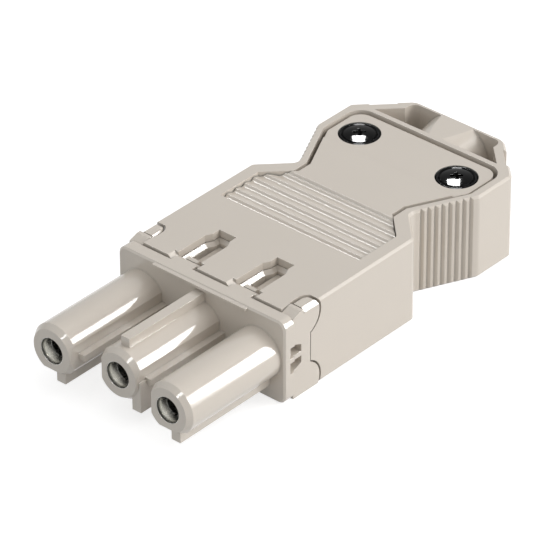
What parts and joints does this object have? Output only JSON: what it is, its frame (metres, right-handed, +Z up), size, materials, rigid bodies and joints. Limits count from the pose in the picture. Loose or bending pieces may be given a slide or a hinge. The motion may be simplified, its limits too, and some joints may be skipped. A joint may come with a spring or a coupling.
{
  "type": "female power connector",
  "caption": "Female power connector with keyed socket noses, a waisted housing and a screwed strain relief flap.",
  "frame": {"origin": "centre of the footprint, on the surface that the connector lies on", "axes": "+X to the right seen from the noses' end, +Y towards the cable, +Z up"},
  "size_m": [0.0286, 0.07, 0.0128],
  "materials": {
    "carrier_plastic": "satin moulded polyamide",
    "housing_plastic": "satin moulded polyamide",
    "flap_plastic": "satin moulded polyamide",
    "latch_plastic": "satin moulded polyamide",
    "saddle_plastic": "matt moulded polyamide",
    "contact_metal": "bright tin plate",
    "spring_steel": "rolled",
    "cage_brass": "nickel plate",
    "clamp_screw_steel": "zinc plate",
    "plate_steel": "rolled",
    "relief_screw_black": "gloss black",
    "nut_steel": "zinc plate"
  },
  "bodies": {
    "housing": {"rear_housing": "housing_plastic", "contact_carrier": "carrier_plastic", "cable_saddle": "saddle_plastic", "screw_nut_left": "nut_steel", "screw_nut_right": "nut_steel", "socket_contact_live": "contact_metal", "contact_spring_live": "spring_steel", "terminal_cage_live": "cage_brass", "socket_contact_earth": "contact_metal", "contact_spring_earth": "spring_steel", "terminal_cage_earth": "cage_brass", "socket_contact_neutral": "contact_metal", "contact_spring_neutral": "spring_steel", "terminal_cage_neutral": "cage_brass"},
    "flap": {"clamp_flap": "flap_plastic"},
    "relief_screw_left": {"strain_screw_left": "relief_screw_black"},
    "relief_screw_right": {"strain_screw_right": "relief_screw_black"},
    "latch_left": {"latch_tongue_left": "latch_plastic"},
    "latch_right": {"latch_tongue_right": "latch_plastic"},
    "clamp_live": {"terminal_screw_live": "clamp_screw_steel", "pressure_plate_live": "plate_steel"},
    "clamp_earth": {"terminal_screw_earth": "clamp_screw_steel", "pressure_plate_earth": "plate_steel"},
    "clamp_neutral": {"terminal_screw_neutral": "clamp_screw_steel", "pressure_plate_neutral": "plate_steel"}
  },
  "joints": [
    {"name": "flap_tilt", "type": "hinge", "parent": "housing", "child": "flap", "pos_m": [0, -0.00015, 0.0112], "axis": [1, 0, 0], "range_deg": [-3, 0], "stiffness_Nm_per_rad": 0.2, "springref_deg": 0.29},
    {"name": "relief_screw_left_travel", "type": "slide", "parent": "housing", "child": "relief_screw_left", "axis": [0, 0, 1], "range_m": [-0.0014, 0]},
    {"name": "relief_screw_right_travel", "type": "slide", "parent": "housing", "child": "relief_screw_right", "axis": [0, 0, 1], "range_m": [-0.0014, 0]},
    {"name": "clamp_live_travel", "type": "slide", "parent": "housing", "child": "clamp_live", "axis": [0, 0, 1], "range_m": [-0.0021, 0]},
    {"name": "clamp_earth_travel", "type": "slide", "parent": "housing", "child": "clamp_earth", "axis": [0, 0, 1], "range_m": [-0.0021, 0]},
    {"name": "clamp_neutral_travel", "type": "slide", "parent": "housing", "child": "clamp_neutral", "axis": [0, 0, 1], "range_m": [-0.0021, 0]},
    {"name": "latch_left_bend", "type": "hinge", "parent": "housing", "child": "latch_left", "pos_m": [-0.005, -0.007, 0.0102], "axis": [1, 0, 0], "range_deg": [0, 10], "stiffness_Nm_per_rad": 0.0005, "springref_deg": -2.86},
    {"name": "latch_right_bend", "type": "hinge", "parent": "housing", "child": "latch_right", "pos_m": [0.005, -0.007, 0.0102], "axis": [1, 0, 0], "range_deg": [0, 10], "stiffness_Nm_per_rad": 0.0005, "springref_deg": -2.86}
  ],
  "couplings": [
    {"joint": "relief_screw_left_travel", "follows": "flap_tilt", "m_per_rad": 0.02405},
    {"joint": "relief_screw_right_travel", "follows": "flap_tilt", "m_per_rad": 0.02405}
  ]
}
